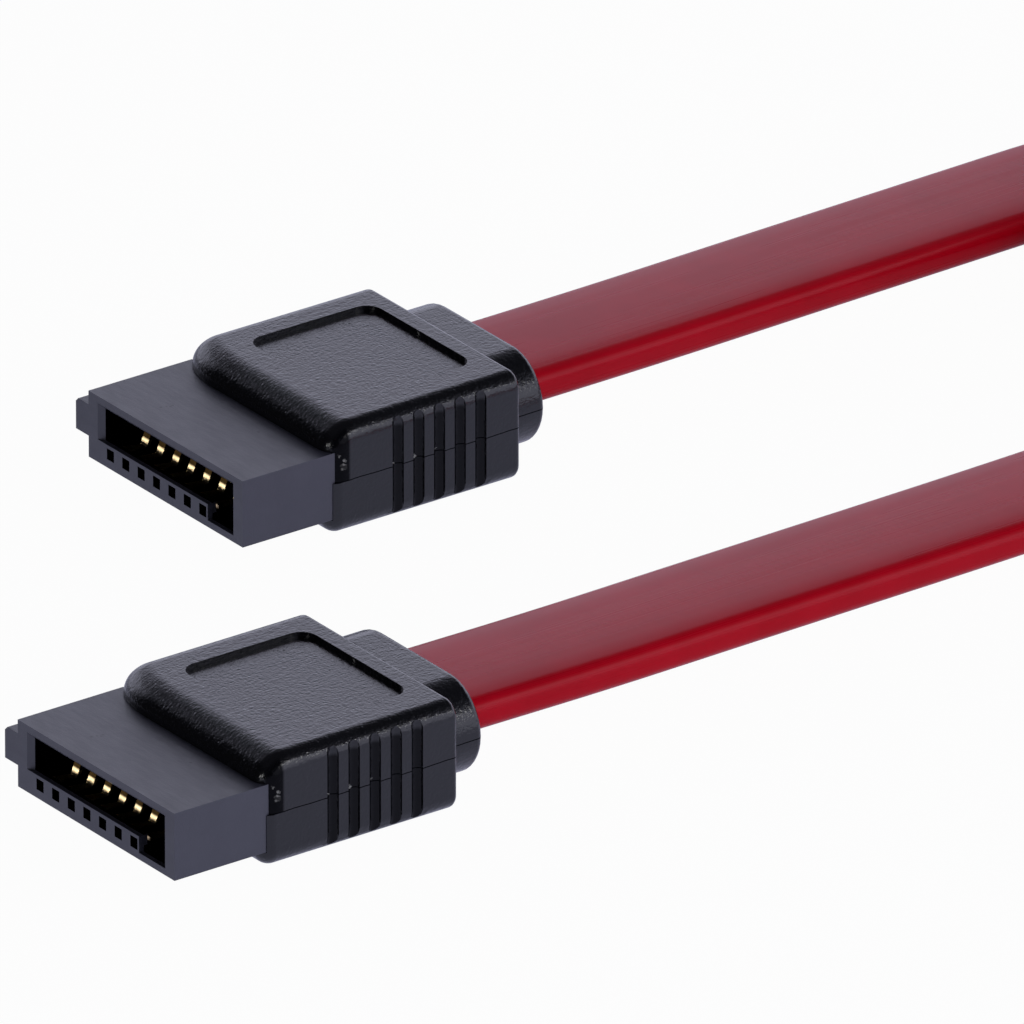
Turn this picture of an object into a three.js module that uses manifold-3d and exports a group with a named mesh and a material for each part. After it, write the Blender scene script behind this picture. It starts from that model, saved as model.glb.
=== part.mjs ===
import * as THREE from 'three';
import { mergeVertices } from 'three/addons/utils/BufferGeometryUtils.js';
import Module from 'manifold-3d';

// A flat data cable with a straight seven-contact plug moulded on each end.
// Millimetres, +Z up. The plugs lie on z = 0 with their mating faces to -Y, and the origin is
// the middle of the two plugs' footprint. Slack cable is folded into a hank beyond the plugs.

// Contacts
const contactCount = 7;
const contactPitch = 1.27;
const contactWidth = 0.5;
const contactThickness = 0.2;
const contactRowShift = -0.74;     // middle of the row, from the housing's centre line
const contactTailLength = 1.6;     // solder tail behind the housing
const contactTailHeight = 0.7;     // middle of the tail over the housing's underside
const contactTipHeight = 0.78;
const contactCrestHeight = 1.75;
const contactToe = 2;              // where the ramp starts, behind the mating face
const contactCrest = 2.55;         // where the ramp ends
const contactClearance = 0.06;

// Housing
const housingWidth = 12.7;
const housingHeight = 3.5;
const housingReach = 5;            // mating face to overmould
const housingSideReach = 5.45;     // mating face to the step in the right side
const housingSeat = 1.1;           // wide part held in the overmould's front
const seatInset = 0.35;            // the step in the right side
const housingDrop = 0.2;           // housing's middle under the overmould's middle
const slotWidth = 10.64;
const slotHeight = 1.67;
const slotDepth = 5;
const slotRoof = 0.63;             // wall over the slot
const keyWidth = 1.85;             // the short leg of the L at the slot's right end
const keyDrop = 0.85;
const leadIn = 0.27;               // chamfer along the mouth's left, top and right
const ledgeWall = 0.5;             // front wall of the contact well
const wellFloor = 0.42;
const wellEndWall = 0.42;          // between the slot's left end and the contact well
const windowWidth = 0.58;
const windowHeight = 0.58;
const windowMiddle = 0.73;         // over the housing's underside
const ribReach = 1.05;             // guide rib on the left side
const ribHeight = 1.67;
const ribBottom = 1.11;
const ribLength = 4.8;
const ribChamfer = 0.2;
const tangWidth = 11.1;            // rear of the housing, held in the overmould
const tangHeight = 2.7;
const tangLength = 3;              // from the overmould's front face

// Overmould
const overmouldWidth = 12.8;
const overmouldShift = 0.15;       // its middle, from the housing's centre line
const overmouldHeight = 5.7;
const overmouldLength = 11.3;
const sideEdgeRadius = 0.85;
const frontTopRadius = 1.35;
const frontFootRadius = 0.9;
const leftCornerWidth = 3.2;       // long rounding of the front's left end, seen from above
const leftCornerDepth = 1.5;
const rightCornerRadius = 1;
const pocketDepth = 9.4;
const mouldGap = 0.1;              // between pieces moulded one into the other
const panelWidth = 8.55;
const panelLength = 7.4;
const panelDepth = 0.27;
const panelRadius = 0.9;
const panelMargin = 1.1;           // from the overmould's rear face
const gripCount = 5;
const gripPitch = 1.222;
const gripWidth = 0.6;
const gripDepth = 0.28;
const gripMargin = 0.35;           // above and below each groove
const gripMiddle = 4.83;           // middle groove, from the overmould's rear face
const bootWidth = 10.5;
const bootShift = 0.25;            // right of the plug's middle
const bootHeight = 5;
const bootLength = 2.25;
const bootRadius = 2.4;
const bootBevel = 0.5;

// Wires inside the overmould
const wireBlockLength = 3.8;
const wireBlockStart = 2;          // behind the housing's rear face
const wireHeight = 1.9;            // wire axis over the floor at the solder tails
const insulationRadius = 0.38;
const coreRadius = 0.16;
const wireBareLength = 1.4;
const wirePassage = 0.1;           // clearance round a wire in its block
const pairMiddle = 1.98;           // middle of each signal pair in the cable
const pairSpacing = 1.05;
const outerDrain = 3.35;           // outer drain wires, from the cable's middle

// Cable
const cableWidth = 7.25;
const cableThickness = 1.85;
const cableEdgeRadius = 0.65;
const cableHeight = 3;             // cable's middle over the floor at the plug
const cableShift = 0.3;            // its middle at the plug, from the housing's centre line
const cableGap = 0.3;
const jacketInset = 0.4;           // jacket's end inside the overmould's rear wall
const plugSpacingX = 27.96;
const plugSpacingY = 23.96;

// Hank of slack cable and its tie: four runs on edge, folded round one near and two far bends
const hankMiddle = 0.35;
const runCount = 4;
const runGap = 0.15;
const waistMiddle = 100;
const waistLength = 8;
const neckLength = 8;              // straight part of the runs before the near bend
const neckOverlap = 0.2;           // how far the two far bends cross at the waist
const nearBendY = 60;
const farBendY = 137.4;
const farBendOffset = 9.3;
const bendRadius = 7.4;
const tieWidth = 3.2;
const tieThickness = 0.6;
const tieStubLength = 9;
const tieStubRadius = 0.8;

// Cable routes from each plug to the hank: place along y, share of the way across from the
// plug's line to the line of its run in the hank, and height of the cable's middle
const leadBendsA = [
  [30, -0.009, 3], [38, -0.031, 3], [46, -0.053, 3], [54, -0.074, 3], [58, -0.077, 3.02], [64, 0.018, 3.15],
  [70, 0.267, 3.4], [76, 0.564, 3.68], [82, 0.832, 3.85], [88, 0.988, 4.1], [92, 1, 4.3],
];
const leadBendsB = [
  [6, -0.006, 3], [14, 0.007, 3], [22, 0.02, 3], [30, 0.034, 3], [38, 0.056, 3], [46, 0.082, 3.05],
  [54, 0.115, 3.2], [60, 0.168, 3.35], [66, 0.292, 3.62], [72, 0.481, 3.78], [78, 0.702, 3.85],
  [84, 0.888, 4.02], [90, 0.992, 4.25], [93, 1, 4.3],
];
const twistSpanA = [40, 70];       // where each flat lead turns on edge, in mm along its route
const twistSpanB = [46, 84];

// Levels and places that follow from the sizes above, in a plug's own frame
const housingBottom = overmouldHeight / 2 - housingDrop - housingHeight / 2;
const housingMiddle = housingBottom + housingHeight / 2;
const slotTop = housingBottom + housingHeight - slotRoof;
const slotBottom = slotTop - slotHeight;
const housingRear = housingReach + tangLength;
const overmouldRear = housingReach + overmouldLength;
const pocketRear = housingReach + pocketDepth;
const plugLength = overmouldRear + bootLength;
const plugLeft = Math.min(-housingWidth / 2 - ribReach, overmouldShift - overmouldWidth / 2);
const plugRight = Math.max(housingWidth / 2, overmouldShift + overmouldWidth / 2);
const plugMiddle = (plugLeft + plugRight) / 2;
const jacketStart = pocketRear + jacketInset;

// Levels and places of the hank
const runPitch = cableThickness + runGap;
const waistHalf = runPitch * runCount / 2;
const waistFront = waistMiddle - waistLength / 2;
const waistRear = waistMiddle + waistLength / 2;
const waistTop = tieThickness + cableWidth;

const wasm = await Module();
wasm.setup();

function toSolid(geometry) {
  const bare = geometry.clone();
  bare.deleteAttribute('normal');
  bare.deleteAttribute('uv');
  const merged = mergeVertices(bare, 1e-5);
  return new wasm.Manifold(new wasm.Mesh({
    numProp: 3,
    vertProperties: new Float32Array(merged.attributes.position.array),
    triVerts: new Uint32Array(merged.index.array),
  }));
}

function toGeometry(solid) {
  const mesh = solid.getMesh();
  const geometry = new THREE.BufferGeometry();
  geometry.setAttribute('position', new THREE.BufferAttribute(new Float32Array(mesh.vertProperties), 3));
  geometry.setIndex(new THREE.BufferAttribute(new Uint32Array(mesh.triVerts), 1));
  geometry.computeVertexNormals();
  return geometry;
}

// A box between two corners
function block(x0, x1, y0, y1, z0, z1) {
  const geometry = new THREE.BoxGeometry(x1 - x0, y1 - y0, z1 - z0);
  geometry.translate((x0 + x1) / 2, (y0 + y1) / 2, (z0 + z1) / 2);
  return toSolid(geometry);
}

// A shape drawn in one plane and extruded along the axis across it
function extrudeAlong(axis, shape, from, to, options = {}) {
  const { bevel = 0, curveSegments = 2 } = options;
  const geometry = new THREE.ExtrudeGeometry(shape, {
    depth: to - from - 2 * Math.abs(bevel),
    steps: 1,
    curveSegments,
    bevelEnabled: bevel !== 0,
    bevelThickness: Math.abs(bevel),
    bevelSize: bevel,
    bevelOffset: -bevel,
    bevelSegments: 1,
  });
  geometry.translate(0, 0, Math.abs(bevel));
  const x = new THREE.Vector3(1, 0, 0);
  const y = new THREE.Vector3(0, 1, 0);
  const z = new THREE.Vector3(0, 0, 1);
  const basis = new THREE.Matrix4();
  if (axis === 'x') {
    basis.makeBasis(y, z, x);
    geometry.applyMatrix4(basis).translate(from, 0, 0);
  } else if (axis === 'y') {
    basis.makeBasis(x, z, y.clone().negate());
    geometry.applyMatrix4(basis).translate(0, to, 0);
  } else {
    geometry.translate(0, 0, from);
  }
  return toSolid(geometry);
}

// A rectangle whose four corners have their own radii, from lower left round to upper left
function roundedRectangle(x0, x1, y0, y1, radii) {
  const [lowerLeft, lowerRight, upperRight, upperLeft] = radii;
  const shape = new THREE.Shape();
  shape.moveTo(x0 + lowerLeft, y0);
  shape.lineTo(x1 - lowerRight, y0);
  if (lowerRight > 0) shape.absarc(x1 - lowerRight, y0 + lowerRight, lowerRight, -Math.PI / 2, 0);
  shape.lineTo(x1, y1 - upperRight);
  if (upperRight > 0) shape.absarc(x1 - upperRight, y1 - upperRight, upperRight, 0, Math.PI / 2);
  shape.lineTo(x0 + upperLeft, y1);
  if (upperLeft > 0) shape.absarc(x0 + upperLeft, y1 - upperLeft, upperLeft, Math.PI / 2, Math.PI);
  shape.lineTo(x0, y0 + lowerLeft);
  if (lowerLeft > 0) shape.absarc(x0 + lowerLeft, y0 + lowerLeft, lowerLeft, Math.PI, 1.5 * Math.PI);
  return shape;
}

function contactX(index) {
  return contactRowShift + contactPitch * (index - (contactCount - 1) / 2);
}

// A route that keeps a flat section level, with a roll about its own line where the cable twists
class RibbonRoute extends THREE.CatmullRomCurve3 {
  constructor(points, twistSpan = null) {
    super(points.map(([x, y, z]) => new THREE.Vector3(x, y, z)), false, 'centripetal');
    this.twistSpan = twistSpan;
    this.arcLengthDivisions = 400;
  }

  rollAt(distance) {
    if (this.twistSpan === null) return 0;
    const [start, end] = this.twistSpan;
    return THREE.MathUtils.smoothstep(distance, start, end) * Math.PI / 2;
  }

  computeFrenetFrames(segments) {
    const frames = { tangents: [], normals: [], binormals: [] };
    const up = new THREE.Vector3(0, 0, 1);
    const length = this.getLength();
    for (let i = 0; i <= segments; i += 1) {
      const along = i / segments;
      const tangent = this.getTangentAt(along).normalize();
      const roll = this.rollAt(along * length);
      const across = new THREE.Vector3().crossVectors(up, tangent).normalize();
      frames.tangents.push(tangent);
      frames.normals.push(across.clone().applyAxisAngle(tangent, roll));
      frames.binormals.push(new THREE.Vector3().crossVectors(tangent, frames.normals[i]));
    }
    return frames;
  }
}

function sweep(section, route, steps, curveSegments) {
  return new THREE.ExtrudeGeometry(section, { steps, curveSegments, extrudePath: route });
}

function discSection(radius) {
  const section = new THREE.Shape();
  section.absarc(0, 0, radius, 0, 2 * Math.PI);
  return section;
}

// Plug housing with its L-shaped slot, contact well and front windows
function housingSolid() {
  const half = housingWidth / 2;
  const top = housingBottom + housingHeight;
  let body = block(-half, half, 0, housingSideReach, housingBottom, top);
  body = body.add(block(-half, half - seatInset, 1, housingReach + housingSeat, housingBottom, top));
  const tangBottom = housingMiddle - tangHeight / 2;
  body = body.add(block(
    -tangWidth / 2, tangWidth / 2, housingReach - 1, housingRear, tangBottom, tangBottom + tangHeight,
  ));

  const ribFoot = housingBottom + ribBottom;
  const rib = new THREE.Shape();
  rib.moveTo(-half + 0.5, ribFoot);
  rib.lineTo(-half + 0.5, ribFoot + ribHeight);
  rib.lineTo(-half - ribReach + ribChamfer, ribFoot + ribHeight);
  rib.lineTo(-half - ribReach, ribFoot + ribHeight - ribChamfer);
  rib.lineTo(-half - ribReach, ribFoot);
  body = body.add(extrudeAlong('y', rib, 0, ribLength));

  const slotHalf = slotWidth / 2;
  const mouth = new THREE.Shape();
  mouth.moveTo(-slotHalf, slotBottom);
  mouth.lineTo(slotHalf - keyWidth, slotBottom);
  mouth.lineTo(slotHalf - keyWidth, slotBottom - keyDrop);
  mouth.lineTo(slotHalf, slotBottom - keyDrop);
  mouth.lineTo(slotHalf, slotTop);
  mouth.lineTo(-slotHalf, slotTop);
  body = body.subtract(extrudeAlong('y', mouth, 0, slotDepth));
  body = body.subtract(flaredMouth(slotHalf));

  const wellRight = slotHalf - keyWidth + 0.1;
  body = body.subtract(block(
    -slotHalf + wellEndWall, wellRight, ledgeWall, slotDepth, housingBottom + wellFloor, slotBottom + 0.2,
  ));

  const windowFoot = housingBottom + windowMiddle - windowHeight / 2;
  const tailLevel = housingBottom + contactTailHeight;
  const slitHalf = contactWidth / 2 + contactClearance;
  const slitRise = contactThickness / 2 + contactClearance;
  for (let i = 0; i < contactCount; i += 1) {
    const x = contactX(i);
    body = body.subtract(block(
      x - windowWidth / 2, x + windowWidth / 2, -1, ledgeWall + 0.1, windowFoot, windowFoot + windowHeight,
    ));
    body = body.subtract(block(
      x - slitHalf, x + slitHalf, slotDepth - 0.1, housingRear + 1,
      tailLevel - slitRise, tailLevel + slitRise,
    ));
  }
  return body;
}

// The chamfer of the slot's mouth, as a frustum over each leg of the L
function flaredMouth(slotHalf) {
  const upper = frustum(-slotHalf, slotHalf, slotBottom, slotTop, true);
  const lower = frustum(slotHalf - keyWidth, slotHalf, slotBottom - keyDrop, slotTop, false);
  return upper.add(lower);
}

// Widens towards the front at its right and top, and at its left where that is asked for
function frustum(x0, x1, z0, z1, flareLeft) {
  const geometry = new THREE.BoxGeometry(1, 1, 1);
  const place = geometry.attributes.position;
  for (let i = 0; i < place.count; i += 1) {
    const front = place.getY(i) < 0;
    const grow = front ? 2 * leadIn : 0;
    const x = place.getX(i) < 0 ? x0 - (flareLeft ? grow : 0) : x1 + grow;
    const z = place.getZ(i) < 0 ? z0 : z1 + grow;
    place.setXYZ(i, x, front ? -leadIn : leadIn, z);
  }
  return toSolid(geometry);
}

// A stamped spring contact: tip under the ledge, ramp to the crest, beam and solder tail
function contactGeometry() {
  const tail = housingBottom + contactTailHeight;
  const line = [
    [ledgeWall + 0.25, housingBottom + contactTipHeight],
    [contactToe, housingBottom + wellFloor + contactThickness],
    [contactCrest - 0.1, housingBottom + contactCrestHeight - 0.08],
    [contactCrest, housingBottom + contactCrestHeight],
    [contactCrest + 0.25, housingBottom + contactCrestHeight - 0.04],
    [slotDepth - 0.3, tail],
    [housingRear + contactTailLength, tail],
  ].map(([y, z]) => new THREE.Vector2(y, z));
  const shape = new THREE.Shape(stripOutline(line, contactThickness));
  const body = extrudeAlong('x', shape, -contactWidth / 2, contactWidth / 2);
  return toGeometry(body);
}

// Both sides of a strip of even thickness round a middle line, with mitred bends
function stripOutline(line, thickness) {
  const left = [];
  const right = [];
  line.forEach((point, i) => {
    const before = i > 0 ? point.clone().sub(line[i - 1]).normalize() : null;
    const after = i < line.length - 1 ? line[i + 1].clone().sub(point).normalize() : null;
    const first = before ?? after;
    const second = after ?? before;
    const along = first.clone().add(second).normalize();
    const across = new THREE.Vector2(-along.y, along.x);
    const reach = thickness / 2 / across.dot(new THREE.Vector2(-first.y, first.x));
    left.push(point.clone().addScaledVector(across, reach));
    right.unshift(point.clone().addScaledVector(across, -reach));
  });
  return right.concat(left);
}

// The overmould seen from above: its front's left end falls back on a long quarter ellipse
function overmouldPlan(left, right) {
  const plan = new THREE.Shape();
  plan.moveTo(right, overmouldRear);
  plan.lineTo(left, overmouldRear);
  plan.lineTo(left, housingReach + leftCornerDepth);
  plan.absellipse(
    left + leftCornerWidth, housingReach + leftCornerDepth, leftCornerWidth, leftCornerDepth,
    Math.PI, 1.5 * Math.PI,
  );
  const cornerX = right - rightCornerRadius;
  plan.lineTo(cornerX, housingReach);
  plan.absarc(cornerX, housingReach + rightCornerRadius, rightCornerRadius, -Math.PI / 2, 0);
  return plan;
}

// Overmould: rounded block with a boot, a front pocket, a cable slot, a panel and grip grooves
function overmouldSolid() {
  const left = overmouldShift - overmouldWidth / 2;
  const right = overmouldShift + overmouldWidth / 2;
  const side = sideEdgeRadius;
  const section = roundedRectangle(left, right, 0, overmouldHeight, [side, side, side, side]);
  const profile = roundedRectangle(
    housingReach, overmouldRear, 0, overmouldHeight, [frontFootRadius, 0, 0, frontTopRadius],
  );
  let body = extrudeAlong('y', section, housingReach, overmouldRear);
  body = body.intersect(extrudeAlong('z', overmouldPlan(left, right), -1, overmouldHeight + 1));
  body = body.intersect(extrudeAlong('x', profile, left - 1, right + 1));

  const middle = overmouldHeight / 2;
  const bootSection = roundedRectangle(
    bootShift - bootWidth / 2, bootShift + bootWidth / 2, middle - bootHeight / 2, middle + bootHeight / 2,
    [bootRadius, bootRadius, bootRadius, bootRadius],
  );
  const bootRoot = overmouldRear - bootBevel - 0.1;
  const boot = extrudeAlong('y', bootSection, bootRoot, plugLength, { bevel: bootBevel, curveSegments: 3 });
  body = body.add(boot);

  const pocketHalf = tangWidth / 2 + mouldGap;
  const pocketRise = tangHeight / 2 + mouldGap;
  body = body.subtract(block(
    -pocketHalf, pocketHalf, housingReach - 1, pocketRear,
    housingMiddle - pocketRise, housingMiddle + pocketRise,
  ));
  const seatLow = housingBottom - mouldGap;
  const seatHigh = housingBottom + housingHeight + mouldGap;
  const seatEnds = [
    [housingWidth / 2 + mouldGap, housingSideReach + mouldGap],
    [housingWidth / 2 - seatInset + mouldGap, housingReach + housingSeat + mouldGap],
  ];
  for (const [x, y] of seatEnds) {
    body = body.subtract(block(plugLeft - 1, x, housingReach - 1, y, seatLow, seatHigh));
  }
  body = body.subtract(block(
    cableShift - cableWidth / 2 - cableGap, cableShift + cableWidth / 2 + cableGap,
    pocketRear - 0.1, plugLength + 1,
    cableHeight - cableThickness / 2 - cableGap, cableHeight + cableThickness / 2 + cableGap,
  ));

  const panelRear = overmouldRear - panelMargin;
  const panel = roundedRectangle(
    -panelWidth / 2, panelWidth / 2, panelRear - panelLength, panelRear,
    [panelRadius, panelRadius, panelRadius, panelRadius],
  );
  body = body.subtract(extrudeAlong('z', panel, overmouldHeight - panelDepth, overmouldHeight + 1));

  for (let i = 0; i < gripCount; i += 1) {
    const y = overmouldRear - gripMiddle + gripPitch * (i - (gripCount - 1) / 2);
    const end = gripWidth / 2;
    const groove = roundedRectangle(
      y - end, y + end, gripMargin, overmouldHeight - gripMargin, [end, end, end, end],
    );
    body = body.subtract(extrudeAlong('x', groove, right - gripDepth, right + 1, { curveSegments: 1 }));
    body = body.subtract(extrudeAlong('x', groove, left - 1, left + gripDepth, { curveSegments: 1 }));
  }
  return body;
}

// Where each wire of the cable ends: 1, 4 and 7 are drains, the rest are two signal pairs
const wireKinds = ['drain', 'signal', 'signal', 'drain', 'signal', 'signal', 'drain'];
const wirePlaces = [
  -outerDrain, -pairMiddle - pairSpacing / 2, -pairMiddle + pairSpacing / 2, 0,
  pairMiddle - pairSpacing / 2, pairMiddle + pairSpacing / 2, outerDrain,
];

// One wire from its solder tail to the cable's jacket, with a clearance for the block's passage
function wireSolid(index, clearance) {
  const from = contactX(index);
  const to = cableShift + wirePlaces[index];
  const signal = wireKinds[index] === 'signal';
  const tailFront = housingRear + 0.5;
  const sleeveFront = housingRear + wireBlockStart - 0.2;
  const start = signal ? sleeveFront : tailFront;
  const radius = (signal ? insulationRadius : coreRadius) + clearance;
  const blockFront = housingRear + wireBlockStart;
  const blockRear = blockFront + wireBlockLength;
  const route = new RibbonRoute([
    [from, start - clearance, wireHeight],
    [from, blockFront + 0.3, wireHeight],
    [to, blockRear - 0.3, cableHeight],
    [to, jacketStart + clearance, cableHeight],
  ]);
  let wire = toSolid(sweep(discSection(radius), route, 6, 4));
  if (signal) {
    const core = new THREE.CylinderGeometry(coreRadius, coreRadius, wireBareLength, 6);
    core.translate(from, start + 0.1 - wireBareLength / 2, 0);
    core.translate(0, 0, wireHeight);
    wire = wire.add(toSolid(core));
  }
  return wire;
}

// Block that holds the wires in their order behind the solder tails
function wireBlockSolid() {
  const front = housingRear + wireBlockStart;
  let body = block(
    -tangWidth / 2, tangWidth / 2, front, front + wireBlockLength,
    housingMiddle - tangHeight / 2, housingMiddle + tangHeight / 2,
  );
  for (let i = 0; i < contactCount; i += 1) body = body.subtract(wireSolid(i, wirePassage));
  return body;
}

// Flat section with rounded edges: width along x, thickness along y
function cableSection() {
  const across = cableWidth / 2;
  const rise = cableThickness / 2;
  const edge = cableEdgeRadius;
  return roundedRectangle(-across, across, -rise, rise, [edge, edge, edge, edge]);
}

// Outline of two runs from the waist round one bend, as a teardrop with a straight neck
function bendSolid(x, y, neckX, neckHalf, waistY, neckY) {
  const radius = bendRadius + cableThickness / 2;
  const away = Math.atan2(y - neckY, x - neckX);
  const shape = new THREE.Shape();
  shape.absarc(x, y, radius, away - Math.PI / 2, away + Math.PI / 2);
  const side = Math.sign(y - waistY);
  shape.lineTo(neckX - side * neckHalf, neckY);
  if (neckY !== waistY) {
    shape.lineTo(neckX - side * neckHalf, waistY);
    shape.lineTo(neckX + side * neckHalf, waistY);
  }
  shape.lineTo(neckX + side * neckHalf, neckY);
  return extrudeAlong('z', shape, 0, cableWidth, { curveSegments: 10 });
}

// Outer form of the folded runs: the waist lies on the tie, and the bends rest on the floor
function hankSolid() {
  let body = block(
    hankMiddle - waistHalf, hankMiddle + waistHalf, waistFront, waistRear, tieThickness, waistTop,
  );
  const nearNeck = (runCount / 2 - 0.5) * runPitch - cableThickness / 2 - cableGap;
  body = body.add(bendSolid(
    hankMiddle, nearBendY, hankMiddle, nearNeck, waistFront + 1, waistFront - neckLength,
  ));
  for (const side of [-1, 1]) {
    const neckHalf = waistHalf / 2 + neckOverlap;
    const neckX = hankMiddle + side * (waistHalf - neckHalf);
    body = body.add(bendSolid(
      hankMiddle + side * farBendOffset, farBendY, neckX, neckHalf, waistRear - 1, waistRear - 1,
    ));
  }
  return body;
}

// Tie round the hank's waist, its two ends twisted together on top
function tieSolid() {
  const outer = waistHalf + tieThickness;
  const front = waistMiddle - tieWidth / 2;
  const rear = waistMiddle + tieWidth / 2;
  let ring = block(
    hankMiddle - outer, hankMiddle + outer, front, rear, 0, waistTop + tieThickness,
  );
  ring = ring.subtract(block(
    hankMiddle - waistHalf, hankMiddle + waistHalf, front - 1, rear + 1, tieThickness, waistTop,
  ));
  const stub = new THREE.CylinderGeometry(tieStubRadius * 0.6, tieStubRadius, tieStubLength, 8);
  stub.rotateZ(-Math.PI / 2);
  stub.translate(
    hankMiddle + tieStubLength / 2 - 1, waistMiddle, waistTop + tieThickness + tieStubRadius * 0.7,
  );
  return ring.add(toSolid(stub));
}

const finishes = {
  housing: { color: 0x3a3c42, roughness: 0.55, metalness: 0 },
  overmould: { color: 0x1d1f24, roughness: 0.6, metalness: 0 },
  contact: { color: 0xd9a441, roughness: 0.25, metalness: 1 },
  wireBlock: { color: 0xc9c6b8, roughness: 0.6, metalness: 0 },
  signalWire: { color: 0xe8e6df, roughness: 0.5, metalness: 0 },
  drainWire: { color: 0xb9bcc0, roughness: 0.35, metalness: 1 },
  cable: { color: 0xc22f3d, roughness: 0.45, metalness: 0 },
  tie: { color: 0x16171a, roughness: 0.5, metalness: 0 },
};

const cable = new THREE.Group();

function addPiece(parent, name, geometry, finish) {
  const mesh = new THREE.Mesh(geometry, new THREE.MeshStandardMaterial(finishes[finish]));
  mesh.name = name;
  parent.add(mesh);
  return mesh;
}

// One plug with everything that it holds
function addPlug(end, x, y) {
  const plug = new THREE.Group();
  plug.position.set(x, y, 0);
  addPiece(plug, `housing_${end}`, toGeometry(housingSolid()), 'housing');
  addPiece(plug, `overmould_${end}`, toGeometry(overmouldSolid()), 'overmould');
  addPiece(plug, `wire_block_${end}`, toGeometry(wireBlockSolid()), 'wireBlock');
  for (let i = 0; i < contactCount; i += 1) {
    const contact = addPiece(plug, `contact_${end}${i + 1}`, contactGeometry(), 'contact');
    contact.position.x = contactX(i);
    const kind = wireKinds[i];
    addPiece(plug, `${kind}_wire_${end}${i + 1}`, toGeometry(wireSolid(i, 0)), `${kind}Wire`);
  }
  cable.add(plug);
}

// A flat lead from inside its plug to the end of its run at the hank's waist
function leadGeometry(plugX, plugY, runX, bends, twistSpan, steps) {
  const startX = plugX + cableShift;
  const points = [
    [startX, plugY + jacketStart, cableHeight],
    [startX, plugY + plugLength, cableHeight],
    ...bends.map(([y, share, z]) => [startX + (runX - startX) * share, y, z]),
  ];
  const runHeight = points[points.length - 1][2];
  points.push([runX, waistFront, runHeight]);
  return sweep(cableSection(), new RibbonRoute(points, twistSpan), steps, 1);
}

const plugXA = -plugSpacingX / 2 - plugMiddle;
const plugYA = (plugSpacingY - plugLength) / 2;
const plugXB = plugSpacingX / 2 - plugMiddle;
const plugYB = (-plugSpacingY - plugLength) / 2;
const outerRun = (runCount - 1) / 2 * runPitch;
addPlug('a', plugXA, plugYA);
addPlug('b', plugXB, plugYB);

const leadA = leadGeometry(plugXA, plugYA, hankMiddle - outerRun, leadBendsA, twistSpanA, 24);
const leadB = leadGeometry(plugXB, plugYB, hankMiddle + outerRun, leadBendsB, twistSpanB, 28);
addPiece(cable, 'cable_lead_a', leadA, 'cable');
addPiece(cable, 'cable_lead_b', leadB, 'cable');
addPiece(cable, 'cable_hank', toGeometry(hankSolid()), 'cable');
addPiece(cable, 'hank_tie', toGeometry(tieSolid()), 'tie');

export default cable;
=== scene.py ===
import math

import bmesh
import bpy
import numpy as np
from mathutils import Matrix, Vector


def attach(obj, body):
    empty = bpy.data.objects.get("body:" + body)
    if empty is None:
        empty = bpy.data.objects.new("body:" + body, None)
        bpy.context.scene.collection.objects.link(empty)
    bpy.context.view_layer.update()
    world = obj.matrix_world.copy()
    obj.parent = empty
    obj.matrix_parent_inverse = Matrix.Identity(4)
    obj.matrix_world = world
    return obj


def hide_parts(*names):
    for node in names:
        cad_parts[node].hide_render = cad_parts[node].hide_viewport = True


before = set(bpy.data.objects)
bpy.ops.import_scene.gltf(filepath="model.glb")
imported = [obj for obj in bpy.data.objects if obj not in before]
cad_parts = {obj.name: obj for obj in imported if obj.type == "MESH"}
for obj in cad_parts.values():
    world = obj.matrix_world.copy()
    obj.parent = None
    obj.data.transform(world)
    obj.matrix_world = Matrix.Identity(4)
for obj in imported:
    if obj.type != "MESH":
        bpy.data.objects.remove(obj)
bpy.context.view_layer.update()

print("frame loaded:", len(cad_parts), "nodes")

# Modelled in millimetres, in each plug's own frame: x across, y back from the mating face, z up
mm = 0.001
plugPlaces = {"a": (-13.555, 2.705), "b": (14.405, -21.255)}


# Camera

camera = {"azimuth": 54.015, "elevation": 25.155, "distance": 1.8, "lens": 1320.02,
          "target": (-0.004442, 0.016602, 0.0)}
azimuth = math.radians(camera["azimuth"])
elevation = math.radians(camera["elevation"])
away = Vector((math.sin(azimuth) * math.cos(elevation), -math.cos(azimuth) * math.cos(elevation),
               math.sin(elevation)))
cameraData = bpy.data.cameras.new("camera")
cameraData.lens = camera["lens"]
cameraData.sensor_width = 36
cameraData.clip_start = 0.05
cameraData.clip_end = 20
cameraObject = bpy.data.objects.new("camera", cameraData)
cameraObject.location = Vector(camera["target"]) + away * camera["distance"]
cameraObject.rotation_euler = (-away).to_track_quat("-Z", "Y").to_euler()
bpy.context.scene.collection.objects.link(cameraObject)
bpy.context.scene.camera = cameraObject
print("camera placed")


# Shared mesh helpers

def newObject(name, mesh):
    item = bpy.data.objects.new(name, mesh)
    bpy.context.scene.collection.objects.link(item)
    return item


def objectFrom(name, form):
    bmesh.ops.recalc_face_normals(form, faces=form.faces)
    mesh = bpy.data.meshes.new(name)
    form.to_mesh(mesh)
    form.free()
    return newObject(name, mesh)


def bake(item):
    # Replaces an object's mesh by what its modifiers make of it
    graph = bpy.context.evaluated_depsgraph_get()
    mesh = bpy.data.meshes.new_from_object(item.evaluated_get(graph))
    old = item.data
    item.modifiers.clear()
    item.data = mesh
    bpy.data.meshes.remove(old)
    return item


def discard(item):
    mesh = item.data
    bpy.data.objects.remove(item)
    bpy.data.meshes.remove(mesh)


def combine(item, others, operation):
    for other in others:
        modifier = item.modifiers.new("combine", "BOOLEAN")
        modifier.operation = operation
        modifier.solver = "EXACT"
        modifier.object = other
    bake(item)
    for other in others:
        discard(other)
    return item


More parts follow.
